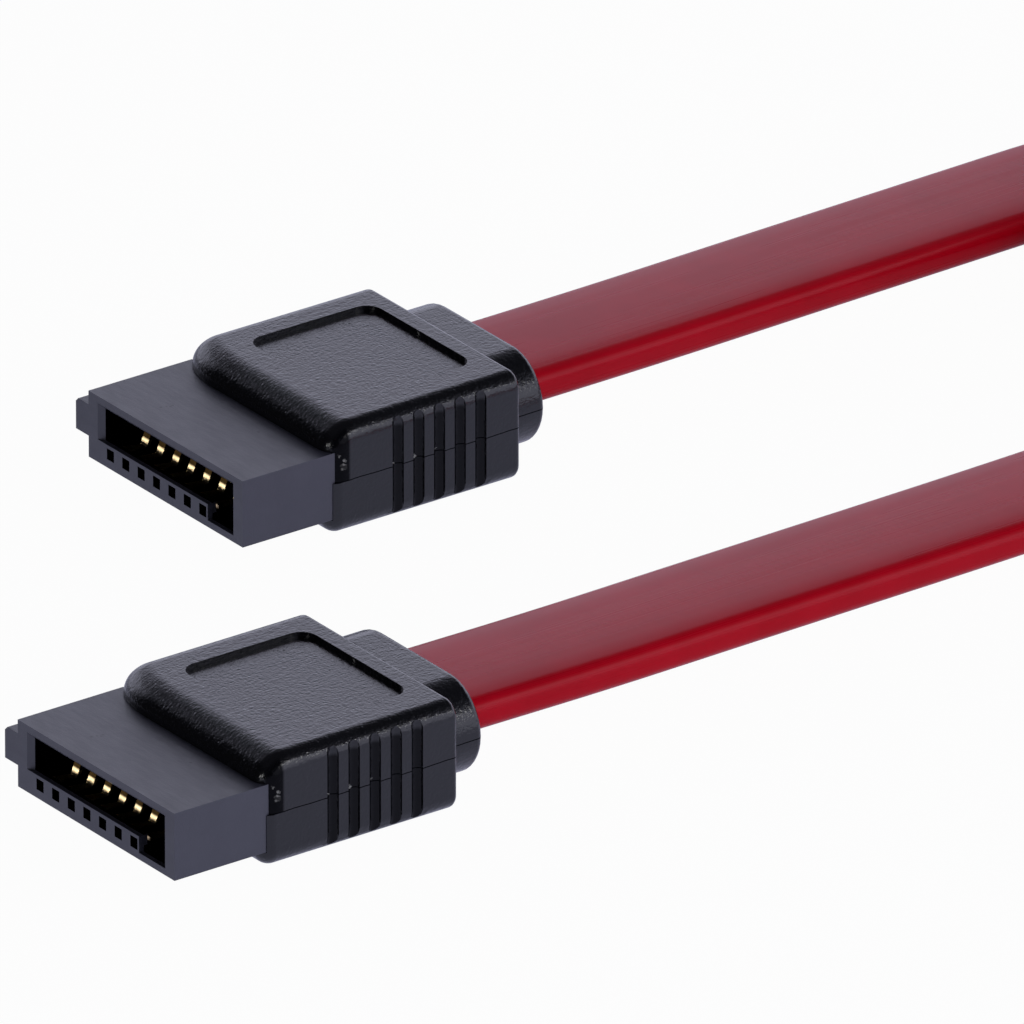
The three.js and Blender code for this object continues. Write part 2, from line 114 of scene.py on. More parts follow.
def soften(item, width, segments=2, angle=30):
    bevel = item.modifiers.new("soften", "BEVEL")
    bevel.width = width
    bevel.segments = segments
    bevel.limit_method = "ANGLE"
    bevel.angle_limit = math.radians(angle)
    bevel.use_clamp_overlap = True
    bevel.miter_outer = "MITER_ARC"
    for polygon in item.data.polygons:
        polygon.use_smooth = True
    weighted = item.modifiers.new("weighted", "WEIGHTED_NORMAL")
    weighted.keep_sharp = True
    weighted.weight = 100
    return bake(item)


def prism(outline, axis, low, high, name="cutter"):
    # A closed outline pushed along an axis: points are (x, z) for y, (y, z) for x and (x, y) for z
    position = "xyz".index(axis)

    def place(point, height):
        return (*point[:position], height, *point[position:])

    form = bmesh.new()
    start = [form.verts.new(place(p, low)) for p in outline]
    end = [form.verts.new(place(p, high)) for p in outline]
    form.faces.new(start)
    form.faces.new(end[::-1])
    count = len(outline)
    for i in range(count):
        form.faces.new((start[i], end[i], end[(i + 1) % count], start[(i + 1) % count]))
    return objectFrom(name, form)


def boxPrism(x0, x1, y0, y1, z0, z1, name="cutter"):
    return prism([(x0, z0), (x1, z0), (x1, z1), (x0, z1)], "y", y0, y1, name)


def roundedOutline(x0, x1, y0, y1, radius, segments=8):
    points = []
    corners = [(x1 - radius, y0 + radius, -90), (x1 - radius, y1 - radius, 0), (x0 + radius, y1 - radius, 90),
               (x0 + radius, y0 + radius, 180)]
    for cx, cy, start in corners:
        for i in range(segments + 1):
            angle = math.radians(start + 90 * i / segments)
            points.append((cx + radius * math.cos(angle), cy + radius * math.sin(angle)))
    return points


def placeOnPlugs(item, name, material, stem):
    # One copy for each plug, its vertices moved to the plug's place and turned into metres; each
    # vertex keeps its place in the plug's own frame for the material
    own = item.data.attributes.new("own", "FLOAT_VECTOR", "POINT")
    for vertex in item.data.vertices:
        own.data[vertex.index].vector = vertex.co
    for end, (x, y) in plugPlaces.items():
        mesh = item.data.copy()
        mesh.transform(Matrix.Scale(mm, 4) @ Matrix.Translation((x, y, 0)))
        mesh.materials.clear()
        mesh.materials.append(material)
        copy = newObject(f"{name}_{end}", mesh)
        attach(copy, "root")
        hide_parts(f"{stem}_{end}")
    discard(item)


# Shared material helpers

class Shader:
    # A material with a few short ways to add and join its nodes
    def __init__(self, name):
        self.material = bpy.data.materials.new(name)
        self.material.use_nodes = True
        self.tree = self.material.node_tree
        self.surface = self.tree.nodes["Principled BSDF"]

    def node(self, kind, **settings):
        made = self.tree.nodes.new(kind)
        for key, value in settings.items():
            setattr(made, key, value)
        return made

    def join(self, source, target):
        self.tree.links.new(source, target)

    def set(self, **values):
        for key, value in values.items():
            self.surface.inputs[key.replace("_", " ")].default_value = value

    def millimetres(self):
        coordinates = self.node("ShaderNodeTexCoord")
        mapping = self.node("ShaderNodeMapping")
        mapping.inputs["Scale"].default_value = (1000, 1000, 1000)
        self.join(coordinates.outputs["Object"], mapping.inputs["Vector"])
        return mapping.outputs["Vector"]

    def own(self, scale=(1, 1, 1), turn=0):
        # Place in the plug's own frame, in millimetres
        mapping = self.node("ShaderNodeMapping")
        mapping.inputs["Scale"].default_value = scale
        mapping.inputs["Rotation"].default_value = (0, 0, math.radians(turn))
        place = self.node("ShaderNodeAttribute", attribute_name="own")
        self.join(place.outputs["Vector"], mapping.inputs["Vector"])
        return mapping.outputs["Vector"]

    def spots(self, vector, places):
        # 1 inside each small round place, given as (x, y, z, radius), and 0 outside
        mask = None
        for x, y, z, radius in places:
            apart = self.node("ShaderNodeVectorMath", operation="DISTANCE")
            apart.inputs[1].default_value = (x, y, z)
            self.join(vector, apart.inputs[0])
            inside = self.ramp(apart.outputs["Value"], radius * 0.6, radius, 1, 0)
            mask = inside if mask is None else self.maths("MAXIMUM", mask, inside)
        return mask

    def noise(self, vector, scale, detail=3, roughness=0.5):
        made = self.node("ShaderNodeTexNoise")
        made.inputs["Scale"].default_value = scale
        made.inputs["Detail"].default_value = detail
        made.inputs["Roughness"].default_value = roughness
        self.join(vector, made.inputs["Vector"])
        return made.outputs["Fac"]

    def ramp(self, source, low, high, start, end):
        made = self.node("ShaderNodeMapRange")
        made.clamp = True
        for key, value in {"From Min": low, "From Max": high, "To Min": start, "To Max": end}.items():
            made.inputs[key].default_value = value
        self.join(source, made.inputs["Value"])
        return made.outputs["Result"]

    def maths(self, operation, first, second=None):
        made = self.node("ShaderNodeMath", operation=operation)
        for i, value in enumerate((first, second)):
            if value is None:
                continue
            if isinstance(value, (int, float)):
                made.inputs[i].default_value = value
            else:
                self.join(value, made.inputs[i])
        return made.outputs[0]

    def blend(self, factor, first, second):
        made = self.node("ShaderNodeMix", data_type="RGBA")
        self.join(factor, made.inputs["Factor"])
        for key, value in (("A", first), ("B", second)):
            target = [s for s in made.inputs if s.name == key and s.type == "RGBA"][0]
            if isinstance(value, tuple):
                target.default_value = (*value, 1)
            else:
                self.join(value, target)
        return [s for s in made.outputs if s.type == "RGBA"][0]

    def bump(self, height, strength, distance):
        made = self.node("ShaderNodeBump")
        made.inputs["Strength"].default_value = strength
        made.inputs["Distance"].default_value = distance
        self.join(height, made.inputs["Height"])
        return made.outputs["Normal"]


def paint(item, material):
    item.data.materials.clear()
    item.data.materials.append(material)


# Flat cable: one route from plug to plug, folded into the hank beyond the view

cable = {"width": 7.25, "thickness": 1.85, "edge": 0.65, "crown": 0.09, "height": 3.0, "shift": 0.3,
         "jacketStart": 14.8, "plugLength": 18.55, "run": 3.0, "waistFront": 96.0, "twistA": (40, 70),
         "twistB": (46, 84)}
hank = {"middle": 0.35, "waist": 100.0, "nearBend": 60.0, "farBend": 137.4, "farOffset": 9.3, "radius": 7.4,
        "waistHeight": 4.3, "bendHeight": 3.72}
# Places along a lead: how far along, the share of the way to the hank's middle, and the height
bendsA = [(30, -0.009, 3), (38, -0.031, 3), (46, -0.053, 3), (54, -0.074, 3), (58, -0.077, 3.02),
          (64, 0.018, 3.15), (70, 0.267, 3.4), (76, 0.564, 3.68), (82, 0.832, 3.85), (88, 0.988, 4.1),
          (92, 1, 4.3)]
bendsB = [(6, -0.006, 3), (14, 0.007, 3), (22, 0.02, 3), (30, 0.034, 3), (38, 0.056, 3), (46, 0.082, 3.05),
          (54, 0.115, 3.2), (60, 0.168, 3.35), (66, 0.292, 3.62), (72, 0.481, 3.78), (78, 0.702, 3.85),
          (84, 0.888, 4.02), (90, 0.992, 4.25), (93, 1, 4.3)]


def leadPoints(end, runX, bends):
    x, y = plugPlaces[end]
    x += cable["shift"]
    points = [(x, y + cable["jacketStart"], cable["height"]), (x, y + cable["plugLength"], cable["height"])]
    points += [(x + (runX - x) * share, along, z) for along, share, z in bends]
    points.append((runX, cable["waistFront"], points[-1][2]))
    return points


def bendPoints(x, y, angles):
    radius = hank["radius"]
    turns = [math.radians(a) for a in angles]
    return [(x + radius * math.cos(t), y + radius * math.sin(t), hank["bendHeight"]) for t in turns]


def hankPoints():
    middle = hank["middle"]
    low = hank["bendHeight"]
    high = hank["waistHeight"]
    far = hank["farBend"]
    outward = [(3, 100, high), (3, 104, high), (3.35, 108, 4.22), (5.2, 114, 3.95), (8.2, 119.5, 3.78)]
    inward = [(1.75, 125, low), (1.45, 117, 3.78), (1.12, 110, 4.05), (1, 104, high), (1, 96, high),
              (1.05, 91, high), (1.6, 86, 4.15), (3, 80, 3.95), (4.9, 73, 3.75)]
    left = [(middle - d, y, z) for d, y, z in outward]
    left += bendPoints(middle - hank["farOffset"], far, (184, 158, 130, 102, 74, 46, 18, -6))
    left += [(middle - d, y, z) for d, y, z in inward]
    near = bendPoints(middle, hank["nearBend"], (167, 193, 219, 245, 270, 295, 321, 347, 373))
    right = [(middle + d, y, z) for d, y, z in outward]
    right += bendPoints(middle + hank["farOffset"], far, (-4, 22, 50, 78, 106, 134, 162, 186))
    right += [(middle + d, y, z) for d, y, z in inward]
    return left + near + right[::-1]


def smoothLine(points, steps):
    # A centripetal curve through the points, sampled evenly along its length
    points = np.array(points, float)
    line = []
    for i in range(len(points) - 1):
        p1, p2 = points[i], points[i + 1]
        p0 = points[i - 1] if i > 0 else 2 * p1 - p2
        p3 = points[i + 2] if i + 2 < len(points) else 2 * p2 - p1
        d0, d1, d2 = (math.sqrt(np.linalg.norm(b - a)) for a, b in ((p0, p1), (p1, p2), (p2, p3)))
        start = ((p1 - p0) / d0 - (p2 - p0) / (d0 + d1) + (p2 - p1) / d1) * d1
        end = ((p2 - p1) / d1 - (p3 - p1) / (d1 + d2) + (p3 - p2) / d2) * d1
        for t in np.linspace(0, 1, 60, endpoint=False):
            line.append((2 * t ** 3 - 3 * t ** 2 + 1) * p1 + (t ** 3 - 2 * t ** 2 + t) * start
                        + (3 * t ** 2 - 2 * t ** 3) * p2 + (t ** 3 - t ** 2) * end)
    line.append(points[-1])
    even = evenly(np.array(line), 2000)
    window = np.hanning(33)
    window /= window.sum()
    soft = np.column_stack([np.convolve(even[:, k], window, "same") for k in range(3)])
    soft[:16] = even[:16]
    soft[-16:] = even[-16:]
    final = evenly(soft, steps)
    return final, float(np.linalg.norm(np.diff(final, axis=0), axis=1).sum())


def evenly(line, steps):
    along = np.concatenate(([0], np.cumsum(np.linalg.norm(np.diff(line, axis=0), axis=1))))
    even = np.linspace(0, along[-1], steps + 1)
    return np.column_stack([np.interp(even, along, line[:, k]) for k in range(3)])


def easing(value, low, high):
    t = min(max((value - low) / (high - low), 0), 1)
    return t * t * (3 - 2 * t)


def cableSection():
    # Flat faces with rounded edges, as (across, up, place round the section)
    outline = roundedOutline(-cable["width"] / 2, cable["width"] / 2, -cable["thickness"] / 2,
                             cable["thickness"] / 2, cable["edge"], 6)
    points = []
    count = len(outline)
    for i in range(count):
        ax, ay = outline[i]
        bx, by = outline[(i + 1) % count]
        pieces = 6 if math.hypot(bx - ax, by - ay) > 3 else 1
        for k in range(pieces):
            points.append((ax + (bx - ax) * k / pieces, ay + (by - ay) * k / pieces))
    half = cable["width"] / 2
    return [(x, y - math.copysign(cable["crown"] * (x / half) ** 2, y)) for x, y in points]


def sweepCable(line, total):
    section = cableSection()
    steps = len(line) - 1
    tangents = np.gradient(line, axis=0)
    tangents /= np.linalg.norm(tangents, axis=1)[:, None]
    form = bmesh.new()
    uvLayer = form.loops.layers.uv.new("UVMap")
    rings = []
    for i, (place, tangent) in enumerate(zip(line, tangents)):
        distance = total * i / steps
        turn = 90 * easing(distance, *cable["twistA"]) + 90 - 90 * easing(total - distance, *cable["twistB"])
        tangent = Vector(tangent)
        across = Vector((0, 0, 1)).cross(tangent).normalized()
        across.rotate(Matrix.Rotation(math.radians(turn), 3, tangent))
        up = tangent.cross(across)
        rings.append([form.verts.new(Vector(place) + across * x + up * z) for x, z in section])
    count = len(section)
    for i in range(steps):
        for k in range(count):
            face = form.faces.new((rings[i][k], rings[i][(k + 1) % count],
                                   rings[i + 1][(k + 1) % count], rings[i + 1][k]))
            face.smooth = True
            places = ((k, i), (k + 1, i), (k + 1, i + 1), (k, i + 1))
            for loop, (u, v) in zip(face.loops, places):
                loop[uvLayer].uv = (u / count, v * total / steps * 0.01)
    form.faces.new(rings[0][::-1])
    form.faces.new(rings[-1])
    for vertex in form.verts:
        vertex.co *= mm
    return objectFrom("flat_cable", form)


def cableMaterial():
    shader = Shader("cable_jacket")
    uv = shader.node("ShaderNodeUVMap", uv_map="UVMap")
    stretch = shader.node("ShaderNodeMapping")
    stretch.inputs["Scale"].default_value = (34, 1.1, 1)
    shader.join(uv.outputs["UV"], stretch.inputs["Vector"])
    streaks = shader.noise(stretch.outputs["Vector"], 1.0, 3, 0.6)
    place = shader.millimetres()
    mottle = shader.noise(place, 0.35, 4, 0.55)
    grain = shader.noise(place, 9.0, 2, 0.5)
    red = shader.blend(shader.ramp(mottle, 0.35, 0.65, 0, 1), (0.62, 0.0005, 0.012), (0.68, 0.0008, 0.015))
    streaksAndGlints = shader.blend(shader.ramp(streaks, 0.52, 0.72, 0, 0.08), red, (0.66, 0.05, 0.07))
    shader.join(streaksAndGlints, shader.surface.inputs["Base Color"])
    shader.join(shader.ramp(streaks, 0.3, 0.7, 0.24, 0.34), shader.surface.inputs["Roughness"])
    height = shader.maths("ADD", streaks, shader.maths("MULTIPLY", grain, 0.25))
    shader.join(shader.bump(height, 0.25, 0.00002), shader.surface.inputs["Normal"])
    shader.set(IOR=1.5, Specular_IOR_Level=0.17)
    return shader.material


outerRun = cable["run"]
leadA = leadPoints("a", hank["middle"] - outerRun, bendsA)
leadB = leadPoints("b", hank["middle"] + outerRun, bendsB)
cableLine, cableLength = smoothLine(leadA + hankPoints() + leadB[::-1], 620)
cableObject = sweepCable(cableLine, cableLength)
paint(cableObject, cableMaterial())
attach(cableObject, "root")
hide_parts("cable_lead_a", "cable_lead_b", "cable_hank")
print("cable swept, length in mm:", round(cableLength, 1))


# Tie round the hank's waist: a flat band with its ends twisted together on top

tie = {"width": 3.2, "thickness": 0.6, "half": 4.0, "bottom": 0.0, "top": 8.6, "stub": 9.0, "strand": 0.42}


def tieForm():
    middle = hank["middle"]
    outer = tie["half"] + tie["thickness"]
    centre = (tie["bottom"] + tie["top"]) / 2
    form = bmesh.new()
    outline = roundedOutline(-outer, outer, tie["bottom"], tie["top"], 0.9, 5)
    inner = roundedOutline(-tie["half"], tie["half"], tie["bottom"] + tie["thickness"],
                           tie["top"] - tie["thickness"], 0.3, 5)
    count = len(outline)
    front = hank["waist"] - tie["width"] / 2
    rear = hank["waist"] + tie["width"] / 2
    loops = []
    for points, inset, y in ((outline, 0.18, front), (outline, 0, front + 0.12), (outline, 0, rear - 0.12),
                             (outline, 0.18, rear), (inner, 0, rear), (inner, 0, front)):
        shrink = 1 - inset / outer
        loops.append([form.verts.new((middle + x * shrink, y, centre + (z - centre) * shrink))
                      for x, z in points])
    for a, b in zip(loops, loops[1:] + loops[:1]):
        for i in range(count):
            form.faces.new((a[i], a[(i + 1) % count], b[(i + 1) % count], b[i]))
    addTwist(form, middle)
    for face in form.faces:
        face.smooth = True
    for vertex in form.verts:
        vertex.co *= mm
    return objectFrom("wire_tie", form)


def addTwist(form, middle):
    # Two strands wound round each other, from the top of the band to the free end
    steps = 72
    sides = 8
    height = tie["top"] + tie["strand"] * 1.2
    for phase in (0, math.pi):
        rings = []
        for i in range(steps + 1):
            t = i / steps
            angle = phase + t * 2 * math.pi * 4.5
            reach = tie["strand"] * (1.0 if t < 0.93 else 1.0 + (t - 0.93) * 14)
            centre = Vector((middle - 1 + tie["stub"] * t, hank["waist"] + reach * math.cos(angle),
                             height + 0.02 + 0.3 * math.sin(t * math.pi) + reach * math.sin(angle)))
            centre.z = max(centre.z, tie["top"] + tie["strand"] * 0.4)
            rings.append([form.verts.new(centre + Vector((0, math.cos(s), math.sin(s))) * tie["strand"] * 0.9)
                          for s in (2 * math.pi * k / sides for k in range(sides))])
        for a, b in zip(rings, rings[1:]):
            for k in range(sides):
                form.faces.new((a[k], a[(k + 1) % sides], b[(k + 1) % sides], b[k]))
        form.faces.new(rings[0][::-1])
        form.faces.new(rings[-1])


def tieMaterial():
    shader = Shader("tie_plastic")
    place = shader.millimetres()
    mottle = shader.noise(place, 0.8, 4, 0.6)
    grain = shader.noise(place, 7, 3, 0.6)
    black = shader.blend(mottle, (0.012, 0.012, 0.014), (0.03, 0.03, 0.034))
    shader.join(black, shader.surface.inputs["Base Color"])
    shader.join(shader.ramp(mottle, 0.3, 0.7, 0.38, 0.55), shader.surface.inputs["Roughness"])
    shader.join(shader.bump(grain, 0.4, 0.00003), shader.surface.inputs["Normal"])
    return shader.material


tieObject = tieForm()
paint(tieObject, tieMaterial())
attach(tieObject, "root")
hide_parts("hank_tie")


# Plug housing

housing = {"half": 6.35, "low": 0.9, "high": 4.4, "reach": 5.0, "sideReach": 5.45, "seat": 1.1,
           "inset": 0.35, "tangHalf": 5.55, "tangLow": 1.3, "tangHigh": 4.0, "rear": 8.0,
           "slotHalf": 5.32, "slotLow": 2.1, "slotHigh": 3.77, "slotDepth": 5.0,
           "keyWidth": 1.85, "keyDrop": 0.85, "leadIn": 0.27, "ledge": 0.5, "wellLow": 1.32, "wellLeft": -4.9,
           "pitch": 1.27, "row": -0.74, "window": (0.58, 0.58), "windowMiddle": 1.63, "ribReach": 1.05,
           "ribLow": 2.01, "ribHigh": 3.68, "ribLength": 4.8}


def contactX(index):
    return housing["row"] + housing["pitch"] * (index - 3)


def flaredMouth():
    # The chamfer along the left, the top and the right of the slot's mouth
    h = housing
    grow = 2 * h["leadIn"]
    key = h["slotHalf"] - h["keyWidth"]
    form = bmesh.new()
    loops = []
    for y, out in ((-h["leadIn"], grow), (h["leadIn"], 0)):
        left, right, top = -h["slotHalf"] - out, h["slotHalf"] + out, h["slotHigh"] + out
        low = h["slotLow"] - h["keyDrop"]
        corners = ((left, h["slotLow"]), (key, h["slotLow"]), (key, low), (right, low), (right, top),
                   (left, top))
        loops.append([form.verts.new((x, y, z)) for x, z in corners])
    front, rear = loops
    form.faces.new(front)
    form.faces.new(rear[::-1])
    for i in range(6):
        form.faces.new((front[i], rear[i], rear[(i + 1) % 6], front[(i + 1) % 6]))
    return objectFrom("cutter", form)


def housingObject():
    h = housing
    body = boxPrism(-h["half"], h["half"], 0, h["sideReach"], h["low"], h["high"], "housing")
    seat = boxPrism(-h["half"], h["half"] - h["inset"], 1, h["reach"] + h["seat"], h["low"], h["high"])
    root = -h["half"] + 0.5
    tip = -h["half"] - h["ribReach"]
    corner = 0.2
    rib = prism([(root, h["ribLow"]), (root, h["ribHigh"]), (tip + corner, h["ribHigh"]),
                 (tip, h["ribHigh"] - corner), (tip, h["ribLow"])], "y", 0, h["ribLength"])
    tang = boxPrism(-h["tangHalf"], h["tangHalf"], h["reach"] - 1, h["rear"], h["tangLow"], h["tangHigh"])
    combine(body, [rib, tang, seat], "UNION")
    key = h["slotHalf"] - h["keyWidth"]
    keyLow = h["slotLow"] - h["keyDrop"]
    mouth = prism([(-h["slotHalf"], h["slotLow"]), (key, h["slotLow"]), (key, keyLow),
                   (h["slotHalf"], keyLow), (h["slotHalf"], h["slotHigh"]), (-h["slotHalf"], h["slotHigh"])],
                  "y", -1, h["slotDepth"])
    well = boxPrism(h["wellLeft"], key + 0.1, h["ledge"], h["slotDepth"], h["wellLow"], h["slotLow"] + 0.2)
    pit = boxPrism(key, h["slotHalf"] - 0.01, 0.3, h["slotDepth"] - 0.01, keyLow - 0.06, keyLow + 0.3)
    combine(body, [mouth, flaredMouth(), well, pit], "DIFFERENCE")
    width, height = h["window"]
    cutters = []
    for i in range(7):
        x = contactX(i)
        cutters.append(boxPrism(x - width / 2, x + width / 2, -1, h["ledge"] + 0.1,
                                h["windowMiddle"] - height / 2, h["windowMiddle"] + height / 2))
        cutters.append(boxPrism(x - 0.31, x + 0.31, h["slotDepth"] - 0.1, h["rear"] + 1, 1.44, 1.76))
    combine(body, cutters, "DIFFERENCE")
    soften(body, 0.05, 3, 40)
    markPaintedShade(body)
    return body


def markPaintedShade(body):
    # The faces inside the slot, the well and the windows are marked as inside: painted shade, which the
    # housing's material paints near black, fully rough and without sheen
    h = housing
    attribute = body.data.attributes.new("inside", "FLOAT", "FACE")
    for polygon in body.data.polygons:
        x, y, z = polygon.center
        within = abs(x) < h["slotHalf"] + 0.02
        within = within and h["slotLow"] - h["keyDrop"] - 0.1 < z < h["slotHigh"] + 0.02
        onLedge = y < h["ledge"] and (z > h["slotLow"] - 0.07 or x > h["slotHalf"] - h["keyWidth"] - 0.07)
        if within and 0.06 < y < h["slotDepth"] + 0.1 and not (onLedge and y < 0.5) or y > h["reach"] + 1.4:
            attribute.data[polygon.index].value = 1
        elif within and y > h["leadIn"] + 0.03 and z > h["slotLow"] + 0.1:
            attribute.data[polygon.index].value = 1


def housingMaterial():
    shader = Shader("housing_plastic")
    place = shader.own()
    cloud = shader.noise(place, 0.55, 4, 0.55)
    fine = shader.noise(place, 11, 3, 0.6)
    streaks = shader.noise(shader.own((0.7, 3.5, 2.0), 8), 1.0, 4, 0.6)
    dark = shader.spots(place, ((-2.62, 2.3, 4.4, 0.09), (-2.55, 2.12, 4.4, 0.08), (-2.68, 1.98, 4.4, 0.08),
                                (-2.75, 1.7, 4.4, 0.09), (2.27, 3.86, 4.4, 0.1)))
    base = shader.blend(shader.ramp(cloud, 0.3, 0.7, 0, 1), (0.036, 0.037, 0.054), (0.046, 0.047, 0.066))
    marked = shader.blend(shader.maths("MULTIPLY", dark, 0.85), base, (0.006, 0.006, 0.008))
    # Painted shade: faces marked inside are painted near black, fully rough and without sheen
    inside = shader.node("ShaderNodeAttribute", attribute_name="inside").outputs["Fac"]
    shader.join(shader.blend(inside, marked, (0.0006, 0.0006, 0.0007)), shader.surface.inputs["Base Color"])
    shader.join(shader.maths("MAXIMUM", shader.ramp(streaks, 0.3, 0.7, 0.44, 0.36), inside),
                shader.surface.inputs["Roughness"])
    shader.join(shader.ramp(inside, 0, 1, 0.76, 0.0), shader.surface.inputs["Specular IOR Level"])
    height = shader.maths("ADD", shader.maths("MULTIPLY", fine, 0.35), shader.maths("MULTIPLY", streaks, 0.5))
    shader.join(shader.bump(height, 0.5, 0.00003), shader.surface.inputs["Normal"])
    shader.set(IOR=1.55)
    return shader.material


placeOnPlugs(housingObject(), "plug_housing", housingMaterial(), "housing")
print("housings made")


# Overmould with its boot

mould = {"left": -6.25, "right": 6.55, "high": 5.7, "front": 5.0, "rear": 16.3, "edge": 0.87,
         "noseLength": 1.65, "noseTop": 4.4, "cornerWidth": 3.2, "cornerDepth": 1.5, "rightCorner": 1.0,
         "lowCorner": 0.78, "seam": 2.85, "rearEdge": 0.28, "rearCorner": 0.9, "pocketHalf": 5.65,
         "pocketLow": 1.2, "pocketHigh": 4.1, "pocketRear": 14.4, "bootMiddle": 0.25, "bootHalf": 5.25,
         "bootLow": 0.35, "bootHigh": 5.35, "bootRadius": 2.4, "bootCrown": 0.1, "bootRear": 18.55,
         "bootEdge": 0.38, "panel": (-4.275, 4.275, 7.8, 15.2), "panelDepth": 0.27, "panelRadius": 0.9,
         "grips": 5, "gripPitch": 1.222, "gripMiddle": 11.47, "gripRadius": 0.34, "gripDepth": 0.28,
         "gripLow": 0.1, "gripHigh": 5.5}


def roundedBlock(low, high, radius, extra, segments=8):
    # A block with round edges and corners: a fine grid pulled out from the inner block, with
    # extra grid places along each axis where the block is shaped further
    form = bmesh.new()
    inner = [(low[k] + radius, high[k] - radius) for k in range(3)]
    stops = []
    for (a, b), places in zip(inner, extra):
        bends = [math.tan(math.radians(45 * i / segments)) for i in range(segments, 0, -1)]
        between = [place for place in places if a + 0.01 < place < b - 0.01]
        stops.append([a - t for t in bends] + [a] + between + [b] + [b + t for t in reversed(bends)])
    seen = {}

    def vertex(point):
        base = Vector([min(max(point[k], inner[k][0]), inner[k][1]) for k in range(3)])
        offset = Vector(point) - base
        place = base + offset.normalized() * radius
        key = tuple(round(c, 6) for c in place)
        if key not in seen:
            seen[key] = form.verts.new(place)
        return seen[key]

    for axis in range(3):
        first, second = [k for k in range(3) if k != axis]
        for end in (0, -1):
            for i in range(len(stops[first]) - 1):
                for j in range(len(stops[second]) - 1):
                    corners = []
                    for di, dj in ((0, 0), (1, 0), (1, 1), (0, 1)):
                        point = [0, 0, 0]
                        point[axis] = stops[axis][end]
                        point[first] = stops[first][i + di]
                        point[second] = stops[second][j + dj]
                        corners.append(vertex(point))
                    unique = list(dict.fromkeys(corners))
                    if len(unique) > 2:
                        form.faces.new(unique)
    return form


def quarterArc(distance, width, depth):
    # How far a quarter ellipse falls back at a distance from the end of its width
    if distance >= width:
        return 0.0
    share = min(max((width - distance) / width, 0), 1)
    return depth * (1 - math.sqrt(1 - share * share))


def shapeFront(form):
    # A long nose from the housing's top up to the panel's level, and front corners seen from above
    m = mould
    middle = m["high"] / 2
    for vertex in form.verts:
        x, y, z = vertex.co
        behind = y - m["front"]
        if z > middle and behind < m["noseLength"]:
            plain = m["high"] - quarterArc(behind, m["edge"], m["edge"])
            nose = m["high"] - quarterArc(behind, m["noseLength"], m["high"] - m["noseTop"])
            z = middle + (z - middle) * (nose - middle) / (plain - middle)
        fall = 1 - easing(behind, 0.3, 4.5)
        left = quarterArc(x - m["left"], m["cornerWidth"], m["cornerDepth"])
        corner = m["rightCorner"] if z > m["seam"] - 0.02 else m["lowCorner"]
        right = quarterArc(m["right"] - x, corner, corner)
        plainLeft = quarterArc(x - m["left"], m["edge"], m["edge"])
        plainRight = quarterArc(m["right"] - x, m["edge"], m["edge"])
        y += (left + right - (plainLeft + plainRight)) * fall
        vertex.co = (x, y, z)


def closeRear(form):
    # Cut off behind the rear face, which closes with a small round edge
    m = mould
    edge = m["rearEdge"]
    start = m["rear"] - edge
    bmesh.ops.bisect_plane(form, geom=form.verts[:] + form.edges[:] + form.faces[:], plane_co=(0, start, 0),
                           plane_no=(0, 1, 0), clear_outer=True)
    rim = [e for e in form.edges if e.is_boundary]
    r = m["edge"]
    places = {}
    for vertex in {v for e in rim for v in e.verts}:
        x, y, z = vertex.co
        places[vertex] = (min(max(x, m["left"] + r), m["right"] - r), min(max(z, r), m["high"] - r), x, z)
    for k in range(1, 5):
        angle = math.radians(90 * k / 4)
        scale = (r - edge * (1 - math.cos(angle))) / r
        made = bmesh.ops.extrude_edge_only(form, edges=rim)["geom"]
        rim = [g for g in made if isinstance(g, bmesh.types.BMEdge) and g.is_boundary]
        moved = {}
        for vertex in {v for e in rim for v in e.verts}:
            old = [e.other_vert(vertex) for e in vertex.link_edges if e.other_vert(vertex) in places][0]
            cx, cz, x, z = places[old]
            vertex.co = (cx + (x - cx) * scale, start + edge * math.sin(angle), cz + (z - cz) * scale)
            moved[vertex] = places[old]
        places = moved
    bmesh.ops.contextual_create(form, geom=rim)


def mouldObject():
    m = mould
    across = [m["left"] + m["cornerWidth"] * k / 14 for k in range(1, 15)] + [m["right"] - 1.0]
    along = [m["front"] + m["noseLength"] * (1 - math.cos(math.radians(7.5 * k))) for k in range(1, 13)]
    along += [m["front"] + 2, m["front"] + 3, m["front"] + 4, m["front"] + 5]
    form = roundedBlock((m["left"], m["front"], 0), (m["right"], m["rear"] + 2, m["high"]), m["edge"],
                        (across, along, (m["seam"] - 0.05, m["seam"], 3.6, 4.2)))
    shapeFront(form)
    closeRear(form)
    body = objectFrom("overmould", form)
    combine(body, [rearCornerCutter()], "DIFFERENCE")
    combine(body, [bootObject()], "UNION")
    cutters = [prism(roundedOutline(*m["panel"], m["panelRadius"]), "z", m["high"] - m["panelDepth"], 7)]
    for i in range(m["grips"]):
        y = m["gripMiddle"] + m["gripPitch"] * (i - 2)
        rise = m["gripRadius"] - m["gripDepth"]
        cutters.append(gripCutter(m["right"] + rise, y))
        cutters.append(gripCutter(m["left"] - rise, y))
    combine(body, cutters, "DIFFERENCE")
    pocket = boxPrism(-m["pocketHalf"], m["pocketHalf"], 4, m["pocketRear"], m["pocketLow"], m["pocketHigh"])
    gap = 0.03
    h = housing
    side = boxPrism(-8, h["half"] + gap, 4, h["sideReach"] + gap, h["low"] - gap, h["high"] + gap)
    seat = boxPrism(-8, h["half"] - h["inset"] + gap, 4, h["reach"] + h["seat"] + gap, h["low"] - gap,
                    h["high"] + gap)
    fit = 0.04
    half = cable["width"] / 2 + fit
    middle = cable["shift"]
    rise = cable["thickness"] / 2 + fit
    slot = prism(roundedOutline(middle - half, middle + half, cable["height"] - rise, cable["height"] + rise,
                                cable["edge"] + fit, 5), "y", m["pocketRear"] - 0.1, 20)
    combine(body, [pocket, side, seat, slot], "DIFFERENCE")
    return soften(body, 0.07, 3, 32)


